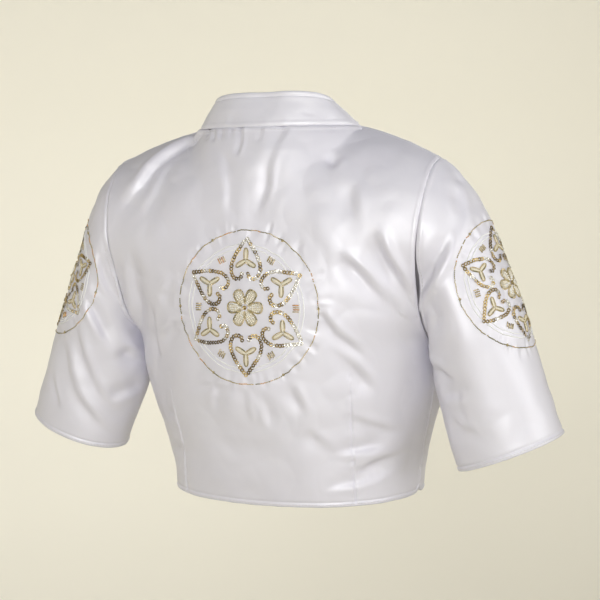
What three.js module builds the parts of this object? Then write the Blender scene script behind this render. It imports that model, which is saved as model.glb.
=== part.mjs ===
import * as THREE from 'three';

// A cropped satin blouse, filled out as it is worn. Sizes are in millimetres. X runs to the wearer's
// left, Y to the back and Z up, and the origin lies midway between the two neck points, where the
// shoulder seams meet the collar. Each cut piece of cloth is a closed wall on a grid of rows and columns.

// Cloth and seams
const WALL = 1.6;
const COLLAR_WALL = 1.8;
const SEAM_GAP = 0.3;
const SLEEVE_GAP_SHARE = 2;
const FRONT_SIDE_GAP_SHARE = 1.8;
const COLLAR_GAP_SHARE = 1.5;

// Neck and shoulders
const NECK_HALF_WIDTH = 88;
const NECK_BACK = { y: 56.6, z: -2.6 };
const SHOULDER_TIP = { x: 175.5, y: 17, z: -33.4 };
const SHOULDER_ARCH = 3;

// The centre line of the back, from the hem up to the back of the neck. Arc is how far round an ellipse
// a section runs from that line to its edge, in degrees, and square is 2 for an ellipse and more for a
// boxier curve.
const BACK_SECTIONS = [
  { at: 'hem', y: 48.6, z: -378, arc: 90, square: 2.6 },
  { at: 'waist', y: 64, z: -323, arc: 90, square: 2.15 },
  { at: 'ribs', y: 79, z: -266, arc: 90, square: 2 },
  { at: 'underarm', y: 84.5, z: -214, arc: 88, square: 2 },
  { at: 'low armhole', y: 85.2, z: -184, arc: 74, square: 2 },
  { at: 'blades', y: 84.2, z: -148, arc: 66, square: 2 },
  { at: 'high blades', y: 81, z: -112, arc: 56, square: 2 },
  { at: 'yoke', y: 76, z: -78, arc: 52, square: 2 },
  { at: 'upper yoke', y: 70.5, z: -50, arc: 52, square: 2 },
  { at: 'below the neck', y: 63.8, z: -25, arc: 52, square: 2 },
  { at: 'neck', y: NECK_BACK.y, z: NECK_BACK.z, arc: 52, square: 2 },
];

// The centre line of the front, as if the neck opening were filled in.
const FRONT_SECTIONS = [
  { at: 'hem', y: -156, z: -366, arc: 90, square: 2.2 },
  { at: 'waist', y: -157, z: -317, arc: 90, square: 2.2 },
  { at: 'ribs', y: -164, z: -266, arc: 90, square: 2.1 },
  { at: 'underarm', y: -164, z: -214, arc: 88, square: 2.1 },
  { at: 'low armhole', y: -157, z: -184, arc: 76, square: 2 },
  { at: 'bust line', y: -146, z: -148, arc: 68, square: 2 },
  { at: 'chest', y: -131, z: -112, arc: 62, square: 2 },
  { at: 'yoke', y: -112, z: -78, arc: 58, square: 2 },
];

// The edge of each section: the side seam up to the underarm, then the armhole up to the shoulder tip.
const UNDERARM = { at: 'underarm', x: 158.5, y: -8, z: -215 };
const SIDE_SEAM = [
  { at: 'hem', x: 130, y: -55, z: -372.5 },
  { at: 'waist', x: 139, y: -42, z: -321 },
  { at: 'ribs', x: 154.5, y: -25, z: -266 },
  UNDERARM,
];
const BACK_ARMHOLE = [
  UNDERARM,
  { at: 'low armhole', x: 161, y: 32, z: -190 },
  { at: 'blades', x: 162, y: 51, z: -153 },
  { at: 'high blades', x: 166, y: 64.5, z: -116 },
  { at: 'yoke', x: 169.7, y: 59, z: -80 },
  { at: 'upper yoke', x: 171.6, y: 48.6, z: -59 },
  { at: 'below the tip', x: 172.6, y: 33.5, z: -42.4 },
  { at: 'shoulder tip', x: SHOULDER_TIP.x, y: SHOULDER_TIP.y, z: SHOULDER_TIP.z },
];
const FRONT_ARMHOLE = [
  UNDERARM,
  { at: 'low armhole', x: 152, y: -50, z: -188 },
  { at: 'bust line', x: 147, y: -66, z: -150 },
  { at: 'chest', x: 149, y: -64, z: -114 },
  { at: 'yoke', x: 155.5, y: -50, z: -80 },
  { at: 'upper yoke', x: 163, y: -31, z: -57 },
  { at: 'below the tip', x: 170, y: -8, z: -41 },
  { at: 'shoulder tip', x: SHOULDER_TIP.x, y: SHOULDER_TIP.y, z: SHOULDER_TIP.z },
];
const UNDERARM_ROW = 3;
const YOKE_ROW = 7;
const TOP_ROW = 10;

// Rows of the grid between the hem, the underarm, the yoke line and the top
const ROWS_TO_UNDERARM = 9;
const ROWS_TO_YOKE = 8;
const ROWS_TO_TOP = 6;
const NECK_COLUMNS = 7;
const SHOULDER_COLUMNS = 12;

// Directions in which the cloth reaches its top edge, as slopes for each millimetre of meridian
const BACK_TOP_LEAN = { neck: [0, -0.5, 0.86], neckPoint: [-0.1, -1.0, 0.3], tip: [0.05, -0.95, 0.12] };
const FRONT_TOP_LEAN = { neckPoint: [0.3, 0.85, 0.4], tip: [0.05, 0.95, 0.15] };

// Neck opening and centre front: the right front laps over the left one, which lies one wall lower.
const V_ROW = 4.5;
const V_HALF_AT_YOKE = 50;
const LAP = 10;
const LAP_COLUMNS = [-LAP, 1, 12, 23];
const LAP_INSET = 2.6;
const LAP_FADE_ROWS = 1;

// Fullness over the bust, which the front darts make
const BUST = { x: 80, z: -222, radius: 62, rise: 9, clearOfLap: 12, full: 45 };

// Sleeves: the ring at the cuff, and the way in which the cloth leaves the armhole
const CUFF = { x: 240, y: -4, z: -317, halfWide: 55, halfDeep: 47, out: 21, forward: 5 };
const SLEEVE_ROWS = 13;
const SLEEVE_LENGTH = 260;
const SLEEVE_LEAVES = [
  { at: 'underarm', x: 0.95, y: -0.05, z: -0.1, reach: 0.22 },
  { at: 'back', x: 0.66, y: 0.1, z: -0.6, reach: 0.66 },
  { at: 'top', x: 0.92, y: -0.22, z: -0.42, reach: 0.68 },
  { at: 'front', x: 0.66, y: -0.36, z: -0.55, reach: 0.75 },
];
const CUFF_REACH = 0.9;
const SLEEVES = [
  { name: 'sleeve_left', side: 1, tuckedIn: 7 },
  { name: 'sleeve_right', side: -1, tuckedIn: 1 },
];

// Collar band: how it rises from the neck seam, from the centre back round to the centre front
const COLLAR_ROWS = 3;
const COLLAR_RISE = [
  { at: 'centre back', x: 0, y: -0.4, z: 0.92, height: 37.5 },
  { at: 'side of the back', x: -0.38, y: -0.12, z: 0.9, height: 36.5 },
  { at: 'neck point', x: -0.7, y: 0.25, z: 0.66, height: 36 },
  { at: 'collar bone', x: -0.88, y: 0.18, z: 0.44, height: 29 },
  { at: 'centre front', x: -0.9, y: 0.07, z: 0.42, height: 26 },
];
const COLLAR_END = 2.5;
const COLLAR_MEETING = 0.4;

// Largest folds, as soft troughs between two points in a view from behind (x, z) or, on a sleeve, in
// turns round it from the underarm, positive by the back and negative by the front, and in its share of
// the length. A negative depth is a ridge.
const BACK_FOLDS = [
  { at: 'neck to left armhole', from: [70, -28], to: [150, -105], width: 17, depth: 3 },
  { at: 'neck to right armhole', from: [-62, -30], to: [-140, -80], width: 16, depth: 1.6 },
  { at: 'left underarm', from: [138, -150], to: [128, -215], width: 15, depth: 3 },
  { at: 'right underarm', from: [-150, -140], to: [-132, -200], width: 15, depth: 3 },
  { at: 'left waist', from: [112, -235], to: [108, -330], width: 20, depth: 2.5 },
  { at: 'right waist', from: [-108, -250], to: [-116, -335], width: 20, depth: 2.5 },
  { at: 'small of the back', from: [-30, -300], to: [35, -318], width: 22, depth: 2 },
];
const FRONT_FOLDS = [
  { at: 'armhole to bust', from: [138, -105], to: [112, -170], width: 17, depth: 2.5 },
  { at: 'below the bust', from: [60, -290], to: [72, -345], width: 18, depth: 2 },
];
const SLEEVE_FOLDS = [
  { at: 'back of the cap', from: [0.2, 0.12], to: [0.36, 0.34], width: 15, depth: 4 },
  { at: 'back above the elbow', from: [0.14, 0.5], to: [0.32, 0.72], width: 14, depth: 3 },
  { at: 'front of the cap', from: [-0.2, 0.14], to: [-0.32, 0.36], width: 15, depth: 3.5 },
  { at: 'front above the elbow', from: [-0.14, 0.55], to: [-0.3, 0.78], width: 14, depth: 2.5 },
  { at: 'fullness under the arm', from: [0.06, 0.25], to: [0.04, 0.6], width: 34, depth: -6 },
];
const FOLD_CLEAR_OF_SEAMS = 22;
const FOLD_DEPTH_AT_ITS_ENDS = 0.6;

// Points within the hollow that the cloth faces away from
const BODY_MIDDLE = { y: -40, highest: -60 };
const COLLAR_MIDDLE = { y: -60 };

// Finer points of the grid: how fast an edge's own line fades out into the cloth, the step over which a
// slope is read, the smallest difference between two rows, and points that count as the same in 1 mm
const EDGE_PULL = 3;
const SLOPE_STEP = 0.02;
const SAME_ROW = 1e-6;
const POINTS_IN_1_MM = 50;

const SATIN = { color: 0xe6e3ea, roughness: 0.38, metalness: 0 };
const COLLAR_SATIN = { color: 0xe9e7ec, roughness: 0.36, metalness: 0 };

const radians = THREE.MathUtils.degToRad;
const smooth = THREE.MathUtils.smoothstep;
const vector = (x, y, z) => new THREE.Vector3(x, y, z);

// One named column of a table, read between its rows on a smooth curve
function readColumn(table, key, position) {
  const last = table.length - 1;
  const row = Math.min(Math.max(Math.floor(position), 0), last - 1);
  const share = position - row;
  const here = table[row][key];
  const next = table[row + 1][key];
  const before = row > 0 ? table[row - 1][key] : 2 * here - next;
  const after = row + 2 <= last ? table[row + 2][key] : 2 * next - here;
  const slopeHere = (next - before) / 2;
  const slopeNext = (after - here) / 2;
  return hermite(here, slopeHere, next, slopeNext, share);
}

function hermite(start, startSlope, end, endSlope, share) {
  const square = share * share;
  const cube = square * share;
  return (2 * cube - 3 * square + 1) * start + (cube - 2 * square + share) * startSlope
    + (3 * square - 2 * cube) * end + (cube - square) * endSlope;
}

function hermitePoint(start, startSlope, end, endSlope, share) {
  const along = (key) => hermite(start[key], startSlope[key], end[key], endSlope[key], share);
  return vector(along('x'), along('y'), along('z'));
}

function readPoint(table, position) {
  return vector(...['x', 'y', 'z'].map((key) => readColumn(table, key, position)));
}

function edgePoint(armhole, position) {
  if (position <= UNDERARM_ROW) return readPoint(SIDE_SEAM, position);
  return readPoint(armhole, position - UNDERARM_ROW);
}

// The rows that the body's pieces share, as positions in the section tables
function rowPositions() {
  const positions = [0];
  const stretches = [
    [UNDERARM_ROW, ROWS_TO_UNDERARM],
    [YOKE_ROW, ROWS_TO_YOKE],
    [TOP_ROW, ROWS_TO_TOP],
  ];
  for (const [end, count] of stretches) {
    const start = positions[positions.length - 1];
    for (let step = 1; step <= count; step += 1) positions.push(start + (end - start) * step / count);
  }
  return positions;
}
const ROWS = rowPositions();
const ARMHOLE_ROWS = ROWS.filter((position) => position > UNDERARM_ROW - SAME_ROW);

// A point of a section at x, on an arc from the centre line to the section's edge
function sectionPoint(sections, armhole, position, x) {
  const edge = edgePoint(armhole, position);
  const arc = radians(readColumn(sections, 'arc', position));
  const square = readColumn(sections, 'square', position);
  const centreY = readColumn(sections, 'y', position);
  const centreZ = readColumn(sections, 'z', position);
  const drop = (share) => (1 - Math.min(Math.abs(share) * Math.sin(arc), 1) ** square) ** (1 / square);
  const share = x / edge.x;
  const fall = (1 - drop(share)) / (1 - drop(1));
  const y = centreY + (edge.y - centreY) * fall;
  const z = centreZ + (edge.z - centreZ) * share * share;
  return vector(x, y, z);
}

// The same point by its share of the arc, so that columns stay even where the section turns to the side
function sectionPointByArc(sections, armhole, position, share) {
  const arc = radians(readColumn(sections, 'arc', position));
  const x = edgePoint(armhole, position).x * Math.sin(share * arc) / Math.sin(arc);
  return sectionPoint(sections, armhole, position, x);
}

function shoulderSeam(share) {
  const rise = SHOULDER_ARCH * Math.sin(Math.PI * share);
  return vector(
    THREE.MathUtils.lerp(NECK_HALF_WIDTH, SHOULDER_TIP.x, share),
    SHOULDER_TIP.y * share,
    SHOULDER_TIP.z * share + rise,
  );
}

function backNeck(share) {
  const turn = radians(90 * share);
  const middle = Math.cos(turn);
  return vector(NECK_HALF_WIDTH * Math.sin(turn), NECK_BACK.y * middle, NECK_BACK.z * middle);
}

function mixLean(start, end, share) {
  return vector(...start.map((value, index) => THREE.MathUtils.lerp(value, end[index], share)));
}

// A point above the yoke line, on a meridian that runs from that line up to the top edge
function yokePoint(lower, top, lean, position) {
  const start = lower(YOKE_ROW);
  const rise = top.distanceTo(start);
  const startSlope = start.clone().sub(lower(YOKE_ROW - SLOPE_STEP)).setLength(rise);
  const share = (position - YOKE_ROW) / (TOP_ROW - YOKE_ROW);
  return hermitePoint(start, startSlope, top, lean.clone().multiplyScalar(rise), share);
}

// Back: half of the columns end on the neck seam and the rest on the shoulder seam.
const HALF_COLUMNS = NECK_COLUMNS + SHOULDER_COLUMNS;

function backTop(column) {
  const onNeck = column <= NECK_COLUMNS;
  const point = onNeck
    ? backNeck(column / NECK_COLUMNS)
    : shoulderSeam((column - NECK_COLUMNS) / SHOULDER_COLUMNS);
  const lean = onNeck
    ? mixLean(BACK_TOP_LEAN.neck, BACK_TOP_LEAN.neckPoint, (column / NECK_COLUMNS) ** 2)
    : mixLean(BACK_TOP_LEAN.neckPoint, BACK_TOP_LEAN.tip, (column - NECK_COLUMNS) / SHOULDER_COLUMNS);
  return { point, lean };
}

function backPoint(column, position) {
  const lowerOf = (from) => (at) => (
    sectionPointByArc(BACK_SECTIONS, BACK_ARMHOLE, at, from / HALF_COLUMNS));
  if (position <= YOKE_ROW) return lowerOf(column)(position);
  const meridian = (from) => {
    const { point, lean } = backTop(from);
    return yokePoint(lowerOf(from), point, lean, position);
  };
  const centreY = readColumn(BACK_SECTIONS, 'y', position);
  const centreZ = readColumn(BACK_SECTIONS, 'z', position);
  return pullToEdges(meridian(column), column / HALF_COLUMNS, {
    inner: vector(0, centreY, centreZ).sub(meridian(0)),
    outer: edgePoint(BACK_ARMHOLE, position).sub(meridian(HALF_COLUMNS)),
  });
}

// Moves a meridian's point so that the first and last columns lie on the piece's own edges
function pullToEdges(point, share, misses) {
  point.addScaledVector(misses.outer, share ** EDGE_PULL);
  if (misses.inner) point.addScaledVector(misses.inner, (1 - share) ** EDGE_PULL);
  return point;
}

// Front: every column ends on the shoulder seam, and the first one is the centre front and neck edge.
function neckEdgeX(position) {
  const slope = V_HALF_AT_YOKE / (YOKE_ROW - V_ROW);
  return Math.max(-LAP, (position - V_ROW) * slope);
}

function frontColumnX(column, position) {
  const edgeX = edgePoint(FRONT_ARMHOLE, position).x;
  const arc = radians(readColumn(FRONT_SECTIONS, 'arc', position));
  const innerX = neckEdgeX(position);
  const angleOf = (x) => Math.asin(Math.min(x * Math.sin(arc) / edgeX, 1));
  const evenAngle = THREE.MathUtils.lerp(angleOf(innerX), arc, column / SHOULDER_COLUMNS);
  const even = edgeX * Math.sin(evenAngle) / Math.sin(arc);
  const lapEnd = LAP_COLUMNS.length - 1;
  const past = (column - lapEnd) / (SHOULDER_COLUMNS - lapEnd);
  const lapAngle = THREE.MathUtils.lerp(angleOf(LAP_COLUMNS[lapEnd]), arc, past);
  const lapped = column <= lapEnd
    ? LAP_COLUMNS[column] + innerX + LAP
    : edgeX * Math.sin(lapAngle) / Math.sin(arc) + (innerX + LAP) * (1 - past);
  return THREE.MathUtils.lerp(lapped, even, smooth(position, V_ROW, YOKE_ROW));
}

function frontPoint(column, position) {
  const lowerOf = (from) => (at) => (
    sectionPoint(FRONT_SECTIONS, FRONT_ARMHOLE, at, frontColumnX(from, at)));
  if (position <= YOKE_ROW) return lowerOf(column)(position);
  const meridian = (from) => {
    const share = from / SHOULDER_COLUMNS;
    const lean = mixLean(FRONT_TOP_LEAN.neckPoint, FRONT_TOP_LEAN.tip, share);
    return yokePoint(lowerOf(from), shoulderSeam(share), lean, position);
  };
  return pullToEdges(meridian(column), column / SHOULDER_COLUMNS, {
    outer: edgePoint(FRONT_ARMHOLE, position).sub(meridian(SHOULDER_COLUMNS)),
  });
}

// Sleeve: the ring runs from the underarm up the back of the armhole and down its front.
function armholeRing() {
  const back = ARMHOLE_ROWS.map((position) => ({
    point: edgePoint(BACK_ARMHOLE, position),
    turn: 0.5 * (position - UNDERARM_ROW) / (TOP_ROW - UNDERARM_ROW),
  }));
  const front = ARMHOLE_ROWS.slice(1, -1).reverse().map((position) => ({
    point: edgePoint(FRONT_ARMHOLE, position),
    turn: 1 - 0.5 * (position - UNDERARM_ROW) / (TOP_ROW - UNDERARM_ROW),
  }));
  return [...back, ...front];
}

function evenTurns(ring) {
  let length = 0;
  const lengths = ring.map((entry, index) => {
    if (index > 0) length += entry.point.distanceTo(ring[index - 1].point);
    return length;
  });
  const top = lengths[ARMHOLE_ROWS.length - 1];
  const whole = length + ring[0].point.distanceTo(ring[ring.length - 1].point);
  return lengths.map((at) => (at <= top ? 0.5 * at / top : 0.5 + 0.5 * (at - top) / (whole - top)));
}

function cuffPoint(turn) {
  const angle = 2 * Math.PI * turn;
  const out = radians(CUFF.out);
  const across = vector(Math.cos(out), 0, Math.sin(out));
  const away = cuffDirection();
  const back = away.clone().cross(across);
  if (back.y < 0) back.negate();
  return vector(CUFF.x, CUFF.y, CUFF.z)
    .addScaledVector(across, -CUFF.halfWide * Math.cos(angle))
    .addScaledVector(back, CUFF.halfDeep * Math.sin(angle));
}

function cuffDirection() {
  const out = radians(CUFF.out);
  const forward = radians(CUFF.forward);
  return vector(Math.sin(out), -Math.sin(forward), -Math.cos(out)).normalize();
}

function leavingSlope(turn) {
  const wrapped = [...SLEEVE_LEAVES, SLEEVE_LEAVES[0]];
  const read = (key) => {
    const position = turn * SLEEVE_LEAVES.length;
    const row = Math.min(Math.floor(position), SLEEVE_LEAVES.length - 1);
    return THREE.MathUtils.lerp(wrapped[row][key], wrapped[row + 1][key], smooth(position - row, 0, 1));
  };
  return vector(read('x'), read('y'), read('z')).normalize().multiplyScalar(read('reach'));
}

function sleevePoint(start, turn, share) {
  const end = cuffPoint(turn);
  const length = end.distanceTo(start);
  const startSlope = leavingSlope(turn).multiplyScalar(length);
  const endSlope = cuffDirection().multiplyScalar(length * CUFF_REACH);
  return hermitePoint(start, startSlope, end, endSlope, share);
}

// Depth of all the folds of a table at a point, given in the table's own two coordinates
function foldDepth(folds, across, along, scaleAcross = 1, scaleAlong = 1) {
  let depth = 0;
  for (const fold of folds) {
    const from = new THREE.Vector2(fold.from[0] * scaleAcross, fold.from[1] * scaleAlong);
    const run = new THREE.Vector2(fold.to[0] * scaleAcross, fold.to[1] * scaleAlong).sub(from);
    const offset = new THREE.Vector2(across * scaleAcross, along * scaleAlong).sub(from);
    const share = THREE.MathUtils.clamp(offset.dot(run) / run.lengthSq(), 0, 1);
    const distance = offset.addScaledVector(run, -share).length();
    const middling = THREE.MathUtils.lerp(FOLD_DEPTH_AT_ITS_ENDS, 1, Math.sin(Math.PI * share));
    depth += fold.depth * Math.exp(-((distance / fold.width) ** 2)) * middling;
  }
  return depth;
}

// Vertex normals of a grid, turned away from the points that insideOf gives
function gridNormals(grid, closed, insideOf) {
  const rows = grid.length;
  const columns = grid[0].length;
  const normals = grid.map((row, r) => row.map((point, c) => {
    const left = grid[r][closed ? (c + columns - 1) % columns : Math.max(c - 1, 0)];
    const right = grid[r][closed ? (c + 1) % columns : Math.min(c + 1, columns - 1)];
    const below = grid[Math.max(r - 1, 0)][c];
    const above = grid[Math.min(r + 1, rows - 1)][c];
    return right.clone().sub(left).cross(above.clone().sub(below)).normalize();
  }));
  let outward = 0;
  grid.forEach((row, r) => row.forEach((point, c) => {
    outward += normals[r][c].dot(point.clone().sub(insideOf(point)));
  }));
  if (outward < 0) normals.flat().forEach((normal) => normal.negate());
  return normals;
}

// Moves each point along its normal by the depth that is given for its row and column
function displace(piece, depthAt) {
  const normals = gridNormals(piece.grid, piece.closed, piece.insideOf);
  piece.grid = piece.grid.map((row, r) => row.map((point, c) => (
    point.clone().addScaledVector(normals[r][c], depthAt(point, r, c)))));
}

function clearOfSeams(piece, r, c) {
  const point = piece.grid[r][c];
  const sides = [piece.grid[0][c], piece.grid[piece.grid.length - 1][c]];
  if (!piece.closed) sides.push(piece.grid[r][0], piece.grid[r][piece.grid[r].length - 1]);
  const nearest = Math.min(...sides.map((side) => side.distanceTo(point)));
  return smooth(nearest, 0, FOLD_CLEAR_OF_SEAMS);
}

function makePiece(name, grid, options) {
  return { name, grid, closed: false, wall: WALL, material: SATIN, seams: {}, ...options };
}

const bodyMiddle = (point) => vector(0, BODY_MIDDLE.y, Math.min(point.z, BODY_MIDDLE.highest));

function makeBack() {
  const columns = [];
  for (let column = -HALF_COLUMNS; column <= HALF_COLUMNS; column += 1) columns.push(column);
  const grid = ROWS.map((position) => columns.map((column) => {
    const point = backPoint(Math.abs(column), position);
    return vector(Math.sign(column) * point.x, point.y, point.z);
  }));
  const piece = makePiece('back', grid, {
    insideOf: bodyMiddle,
    seams: { top: 1, left: 1, right: 1 },
  });
  displace(piece, (point, r, c) => -foldDepth(BACK_FOLDS, point.x, point.z) * clearOfSeams(piece, r, c));
  return piece;
}

function lapInset(position, x) {
  const level = 1 - smooth(position, V_ROW, V_ROW + LAP_FADE_ROWS);
  const across = 1 - smooth(x, LAP_COLUMNS[2], LAP_COLUMNS[3]);
  return LAP_INSET * level * across;
}

function makeFront(name, side, under) {
  const grid = ROWS.map((position) => {
    const row = [];
    for (let column = 0; column <= SHOULDER_COLUMNS; column += 1) {
      const point = frontPoint(column, position);
      row.push(vector(side * point.x, point.y, point.z));
    }
    return row;
  });
  const piece = makePiece(name, grid, {
    insideOf: bodyMiddle,
    seams: { top: 1, right: FRONT_SIDE_GAP_SHARE, left: 1 },
  });
  displace(piece, (point, r, c) => {
    const x = side * point.x;
    const fromApex = Math.hypot(x - BUST.x, point.z - BUST.z) / BUST.radius;
    const bust = BUST.rise * Math.exp(-(fromApex ** 2)) * smooth(x, BUST.clearOfLap, BUST.full);
    const folds = foldDepth(FRONT_FOLDS, x, point.z);
    return (bust - folds) * clearOfSeams(piece, r, c);
  });
  if (under) {
    displace(piece, (point, r) => -lapInset(ROWS[r], side * point.x));
  }
  return piece;
}

function makeSleeve({ name, side, tuckedIn }) {
  const ring = armholeRing();
  const turns = evenTurns(ring);
  const grid = [];
  for (let row = 0; row <= SLEEVE_ROWS; row += 1) {
    const share = row / SLEEVE_ROWS;
    const tuck = tuckedIn * Math.sin(Math.PI * share) ** 2;
    grid.push(ring.map((entry, column) => {
      const point = sleevePoint(entry.point, turns[column], share);
      return vector(side * (point.x - tuck), point.y, point.z);
    }));
  }
  const middles = grid.map((row) => row.reduce((sum, point) => sum.add(point), vector(0, 0, 0))
    .divideScalar(row.length));
  const nearestMiddle = (point) => middles.reduce((best, middle) => (
    middle.distanceTo(point) < best.distanceTo(point) ? middle : best));
  const piece = makePiece(name, grid, {
    closed: true,
    insideOf: nearestMiddle,
    seams: { bottom: SLEEVE_GAP_SHARE },
  });
  const girth = 2 * Math.PI * CUFF.halfWide;
  displace(piece, (point, r, c) => {
    const turn = turns[c] > 0.5 ? turns[c] - 1 : turns[c];
    const depth = foldDepth(SLEEVE_FOLDS, turn, r / SLEEVE_ROWS, girth, SLEEVE_LENGTH);
    return -depth * clearOfSeams(piece, r, c);
  });
  return piece;
}

// Collar: its lowest row is the neck seam, taken from the edges of the fronts and of the back.
function makeCollar(back, frontLeft, frontRight) {
  const leftEdge = frontNeckEdge(frontLeft);
  const rightEdge = frontNeckEdge(frontRight);
  const top = back.grid[back.grid.length - 1];
  const middle = HALF_COLUMNS;
  const backNeckRow = top.slice(middle - NECK_COLUMNS, middle + NECK_COLUMNS + 1);
  const base = [...rightEdge, ...backNeckRow.slice(1, -1), ...leftEdge.reverse()];
  const sides = base.length - 1;
  const frontSteps = leftEdge.length - 1;
  const grid = [];
  for (let row = 0; row <= COLLAR_ROWS; row += 1) grid.push([]);
  base.forEach((point, index) => {
    const fromMiddle = Math.abs(index - sides / 2);
    const side = index < sides / 2 ? -1 : 1;
    const position = fromMiddle <= NECK_COLUMNS
      ? 2 * fromMiddle / NECK_COLUMNS
      : 2 + 2 * (fromMiddle - NECK_COLUMNS) / frontSteps;
    const rise = readPoint(COLLAR_RISE, position).normalize();
    const full = readColumn(COLLAR_RISE, 'height', position);
    const room = (Math.abs(point.x) - COLLAR_MEETING) / -rise.x;
    const height = fromMiddle > NECK_COLUMNS ? Math.min(full, room) : full;
    for (let row = 0; row <= COLLAR_ROWS; row += 1) {
      const up = height * row / COLLAR_ROWS;
      grid[row].push(vector(point.x + side * rise.x * up, point.y + rise.y * up, point.z + rise.z * up));
    }
  });
  return makePiece('collar', grid, {
    wall: COLLAR_WALL,
    material: COLLAR_SATIN,
    insideOf: (point) => vector(0, COLLAR_MIDDLE.y, point.z),
    seams: { bottom: COLLAR_GAP_SHARE },
  });
}

// The neck edge of a front, from just above the foot of the V up to the neck point
function frontNeckEdge(front) {
  const edge = front.grid.map((row) => row[0]).filter((point, r) => ROWS[r] > V_ROW - SAME_ROW);
  const share = COLLAR_END / Math.abs(edge[1].x);
  return [edge[0].clone().lerp(edge[1], share), ...edge.slice(1)];
}

// Normals that neighbouring pieces share where their edges meet, so that their walls end face to face
function sharedNormals(pieces) {
  const keyOf = (point) => (
    point.toArray().map((value) => Math.round(value * POINTS_IN_1_MM)).join(' '));
  const sums = new Map();
  for (const piece of pieces) {
    piece.normals = gridNormals(piece.grid, piece.closed, piece.insideOf);
    piece.grid.forEach((row, r) => row.forEach((point, c) => {
      const key = keyOf(point);
      if (!sums.has(key)) sums.set(key, vector(0, 0, 0));
      sums.get(key).add(piece.normals[r][c]);
    }));
  }
  for (const piece of pieces) {
    piece.normals = piece.grid.map((row) => row.map((point) => sums.get(keyOf(point)).clone().normalize()));
  }
}

// Draws the sewn edges back by half of the seam gap, square to the edge and along the cloth
function drawBack(piece) {
  const { grid, closed, seams } = piece;
  const rows = grid.length;
  const columns = grid[0].length;
  const shifts = grid.map((row) => row.map(() => vector(0, 0, 0)));
  const shift = (r, c, towards, edgeStart, edgeEnd, share) => {
    const edge = edgeEnd.clone().sub(edgeStart).normalize();
    const inward = towards.clone().sub(grid[r][c]);
    inward.addScaledVector(edge, -inward.dot(edge)).setLength(share * SEAM_GAP / 2);
    shifts[r][c].add(inward);
  };
  const alongRow = (r, c, towards, share) => {
    const before = closed ? (c + columns - 1) % columns : Math.max(c - 1, 0);
    const after = closed ? (c + 1) % columns : Math.min(c + 1, columns - 1);
    shift(r, c, towards, grid[r][before], grid[r][after], share);
  };
  const alongColumn = (r, c, towards, share) => {
    shift(r, c, towards, grid[Math.max(r - 1, 0)][c], grid[Math.min(r + 1, rows - 1)][c], share);
  };
  for (let c = 0; c < columns; c += 1) {
    if (seams.bottom) alongRow(0, c, grid[1][c], seams.bottom);
    if (seams.top) alongRow(rows - 1, c, grid[rows - 2][c], seams.top);
  }
  for (let r = 0; r < rows; r += 1) {
    if (seams.left) alongColumn(r, 0, grid[r][1], seams.left);
    if (seams.right) alongColumn(r, columns - 1, grid[r][columns - 2], seams.right);
  }
  return shifts;
}

// A closed wall: the outer grid, the inner grid one thickness below it, and a rim on each open edge
function wallGeometry(piece) {
  const { grid, normals, closed, wall } = piece;
  const rows = grid.length;
  const columns = grid[0].length;
  const shifts = drawBack(piece);
  const positions = [];
  for (const depth of [0, wall]) {
    grid.forEach((row, r) => row.forEach((point, c) => {
      const moved = point.clone().add(shifts[r][c]).addScaledVector(normals[r][c], -depth);
      positions.push(moved.x, moved.y, moved.z);
    }));
  }
  const inner = rows * columns;
  const at = (r, c) => r * columns + (c % columns);
  const triangles = [];
  const corner = (index) => vector(...positions.slice(3 * index, 3 * index + 3));
  const quad = (a, b, c, d) => {
    const split = corner(a).distanceTo(corner(c)) < corner(b).distanceTo(corner(d));
    triangles.push(...(split ? [a, b, c, a, c, d] : [b, c, d, b, d, a]));
  };
  const lastColumn = closed ? columns : columns - 1;
  const top = rows - 1;
  const side = columns - 1;
  for (let r = 0; r < top; r += 1) {
    for (let c = 0; c < lastColumn; c += 1) {
      quad(at(r, c), at(r, c + 1), at(r + 1, c + 1), at(r + 1, c));
      quad(inner + at(r, c), inner + at(r + 1, c), inner + at(r + 1, c + 1), inner + at(r, c + 1));
    }
  }
  for (let c = 0; c < lastColumn; c += 1) {
    quad(at(0, c), inner + at(0, c), inner + at(0, c + 1), at(0, c + 1));
    quad(at(top, c), at(top, c + 1), inner + at(top, c + 1), inner + at(top, c));
  }
  for (let r = 0; !closed && r < top; r += 1) {
    quad(at(r, 0), at(r + 1, 0), inner + at(r + 1, 0), inner + at(r, 0));
    quad(at(r, side), inner + at(r, side), inner + at(r + 1, side), at(r + 1, side));
  }
  if (signedVolume(positions, triangles) < 0) triangles.reverse();
  const geometry = new THREE.BufferGeometry();
  geometry.setAttribute('position', new THREE.Float32BufferAttribute(positions, 3));
  geometry.setIndex(triangles);
  geometry.computeVertexNormals();
  return geometry;
}

function signedVolume(positions, triangles) {
  const corner = (index) => vector(...positions.slice(3 * index, 3 * index + 3));
  let volume = 0;
  for (let t = 0; t < triangles.length; t += 3) {
    volume += corner(triangles[t]).dot(corner(triangles[t + 1]).cross(corner(triangles[t + 2]))) / 6;
  }
  return volume;
}

function makeBlouse() {
  const back = makeBack();
  const frontLeft = makeFront('front_left', 1, true);
  const frontRight = makeFront('front_right', -1, false);
  const collar = makeCollar(back, frontLeft, frontRight);
  const pieces = [back, frontLeft, frontRight, ...SLEEVES.map(makeSleeve), collar];
  sharedNormals(pieces);
  const blouse = new THREE.Group();
  for (const piece of pieces) {
    const mesh = new THREE.Mesh(wallGeometry(piece), new THREE.MeshStandardMaterial(piece.material));
    mesh.name = piece.name;
    blouse.add(mesh);
  }
  return blouse;
}

export default makeBlouse();
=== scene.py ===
"""A cropped white satin blouse with beaded medallions, filled out as it is worn and seen from behind.

The cloth of each cut piece is laid over the outer side of its solid wall, then creased along listed folds.
Lengths in the tables are in millimetres in the object's own frame: X to the wearer's left, Y to the back, Z
up."""

import heapq
import math
import random

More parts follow.
